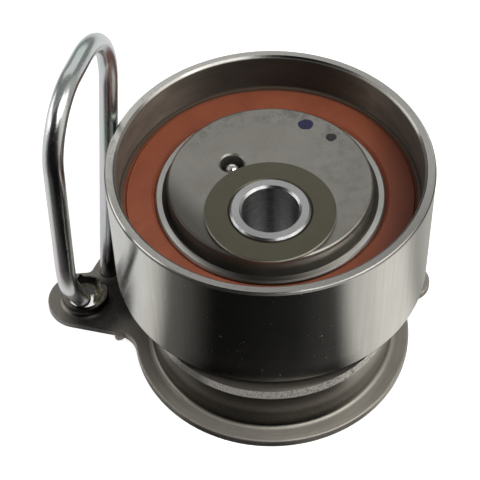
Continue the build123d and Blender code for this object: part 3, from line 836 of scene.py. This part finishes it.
def floor_material():
    """A white floor that keeps the object's shadow, with a shade on the patch seen through the ear's hole."""
    mat = bpy.data.materials.new("floor_white")
    tree, out = empty_tree(mat)
    path = add(tree, "ShaderNodeLightPath")
    mirrored = calc(tree, "MAXIMUM", path.outputs["Is Glossy Ray"], path.outputs["Is Transmission Ray"])
    seen = plus_share(tree, path.outputs["Is Camera Ray"], mirrored, MIRRORED_GLOW)

    # The shade: the hole's patch, at its back and in a narrow line below the pin's foot.
    radius, _, _ = round_axis(tree, (HOLE_X * MM, HOLE_Y * MM))
    _, x, y, _ = place(tree)
    hole = spread(tree, radius, 4.4 * MM, 4.8 * MM, 1.0, 0.0)
    behind = spread(tree, minus(tree, y, times(tree, x, 0.35)), 20.9 * MM, 22.2 * MM, 0.12, 0.95, True)
    below = size_of(tree, minus(tree, x, -38.4 * MM))
    below = spread(tree, below, 0.5 * MM, 0.9 * MM, 0.7, 0.0, True)
    shade = times(tree, hole, calc(tree, "MAXIMUM", behind, below))

    paper = add(tree, "ShaderNodeBsdfDiffuse", {
        "Color": blend_colour(tree, shade, (0.80, 0.80, 0.80), (0.04, 0.04, 0.045)),
    })
    lit = times(tree, times(tree, seen, FLOOR_GLOW), minus(tree, 1.0, shade))
    glow = add(tree, "ShaderNodeEmission", {"Color": (1.0, 1.0, 1.0), "Strength": lit})
    both = add(tree, "ShaderNodeAddShader", {0: paper.outputs[0], 1: glow.outputs[0]})
    tree.links.new(both.outputs[0], out.inputs[0])
    return mat


mesh_object(
    "floor", [
        (-FLOOR_HALF, -FLOOR_HALF, 0), (FLOOR_HALF, -FLOOR_HALF, 0),
        (FLOOR_HALF, FLOOR_HALF, 0), (-FLOOR_HALF, FLOOR_HALF, 0),
    ], [(0, 1, 2, 3)], floor_material(),
)

# The dark card: a glowing fan that paints what the metal reflects. Angles are in degrees, 0 to the front and
# rising to the right.
CARD_FIRST, CARD_LAST, CARD_STEPS = -79, 128, 69
CARD_Z = 0.00005  # just over the floor
CARD_ROWS = (  # distance from the pivot and height, from the object's foot out and up behind the camera
    (0.02695, CARD_Z), (0.036, CARD_Z), (0.08, CARD_Z), (0.25, CARD_Z), (0.6, CARD_Z),
    (0.9, 0.3), (0.9, 1.2), (0.3, 1.6),
)
CARD_RIGHT = (  # from angle, to angle, change of brightness between them
    (56, 72, 0.20), (84, 100, -0.50), (101, 110, 0.12), (37, 54, 0.66), (12, 38, 0.03),
)
CARD_LEFT = (-77, -58, 0.72, 0.0)  # from angle, to angle, brightness at each
CARD_HAZE = (-64, -32, 0.12, 0.004)
CARD_TINT = (1.0, 0.98, 0.92)


def dark_card():
    """The studio's dark front as painted reflections: a fan on the floor that rises behind the camera.

    It shows in reflections only, and it glows, dark in front and brighter at its sides."""
    mat = bpy.data.materials.new("reflection_glow")
    tree, out = empty_tree(mat)
    _, x, y, _ = place(tree)
    angle = calc(tree, "ARCTAN2", x, times(tree, y, -1.0))

    def fade(start, end, at_start, at_end):
        return spread(tree, angle, math.radians(start), math.radians(end), at_start, at_end, True)

    level = None
    for start, end, change in CARD_RIGHT:
        step = fade(start, end, 0.0, change)
        level = step if level is None else plus(tree, level, step)
    level = plus(tree, level, calc(tree, "MAXIMUM", fade(*CARD_LEFT), fade(*CARD_HAZE)))
    glow = add(tree, "ShaderNodeEmission", {"Color": CARD_TINT, "Strength": level})
    tree.links.new(glow.outputs[0], out.inputs[0])

    verts = []
    faces = []
    for reach, height in CARD_ROWS:
        for i in range(CARD_STEPS + 1):
            a = math.radians(CARD_FIRST + (CARD_LAST - CARD_FIRST) * i / CARD_STEPS)
            verts.append((reach * math.sin(a), -reach * math.cos(a), height))
    for r in range(len(CARD_ROWS) - 1):
        for i in range(CARD_STEPS):
            k = r * (CARD_STEPS + 1) + i
            faces.append((k, k + 1, k + CARD_STEPS + 2, k + CARD_STEPS + 1))
    card = mesh_object("dark_card", verts, faces, mat)
    card.visible_camera = False
    card.visible_diffuse = False
    card.visible_shadow = False
    card.visible_transmission = False


dark_card()

BOX_AIM = Vector((0, 0, 0.02))  # the point that the soft boxes face
SOFTBOXES = (  # name, azimuth (0 is +X, 90 is +Y), elevation, distance, width, height, radiance
    ("left_box", 176, 18, 0.9, 0.8, 0.5, 1.6),
    ("right_box", -12, 36, 1.0, 0.6, 0.6, 1.5),
    ("back_box", 92, 36, 1.2, 1.3, 0.6, 0.65),
    ("key_box", -48, 58, 1.0, 0.65, 0.65, 3.2),
)


def softbox(name, azimuth, elevation, distance, width, height, radiance):
    """A rectangular soft light that faces the object."""
    a = math.radians(azimuth)
    e = math.radians(elevation)
    away = Vector((math.cos(a) * math.cos(e), math.sin(a) * math.cos(e), math.sin(e)))
    light = bpy.data.lights.new(name, "AREA")
    light.shape = "RECTANGLE"
    light.size = width
    light.size_y = height
    light.energy = radiance * math.pi * width * height
    obj = bpy.data.objects.new(name, light)
    obj.location = away * distance + BOX_AIM
    obj.rotation_euler = away.to_track_quat("Z", "Y").to_euler()
    bpy.context.scene.collection.objects.link(obj)


for box in SOFTBOXES:
    softbox(*box)


def studio_world():
    """White behind the object, and a soft grey light that is brighter from the back and from above."""
    world = bpy.data.worlds.new("studio")
    bpy.context.scene.world = world
    world.use_nodes = True
    tree = world.node_tree
    tree.nodes.clear()
    out = add(tree, "ShaderNodeOutputWorld")
    path = add(tree, "ShaderNodeLightPath")
    way = add(tree, "ShaderNodeSeparateXYZ", {0: add(tree, "ShaderNodeTexCoord").outputs["Generated"]})
    lean = plus_share(tree, way.outputs[1], way.outputs[2], 0.6)
    soft = spread(tree, lean, -0.3, 0.6, 0.04, 0.26, True)
    strength = calc(tree, "MAXIMUM", path.outputs["Is Camera Ray"], soft)
    sky = add(tree, "ShaderNodeBackground", {"Color": (1.0, 1.0, 1.0), "Strength": strength})
    tree.links.new(sky.outputs[0], out.inputs[0])


studio_world()

# Camera, as fitted to the photograph.
CAMERA_AT = (0.0, -0.178159, 0.240416)
CAMERA_RIGHT = Vector((0.9997554, 0.0061551, -0.0212426))
CAMERA_UP = Vector((0.0089243, 0.7665503, 0.6421222))

camera_data = bpy.data.cameras.new("camera")
camera_data.lens = 113.393
camera_data.sensor_width = 36.0
camera_data.sensor_fit = "HORIZONTAL"
camera_data.clip_start = 0.01
camera_data.clip_end = 20.0
camera = bpy.data.objects.new("camera", camera_data)
turn = Matrix((CAMERA_RIGHT, CAMERA_UP, CAMERA_RIGHT.cross(CAMERA_UP))).transposed()
camera.matrix_world = Matrix.Translation(CAMERA_AT) @ turn.to_4x4()
bpy.context.scene.collection.objects.link(camera)
bpy.context.scene.camera = camera
bpy.context.scene.view_settings.view_transform = "Standard"
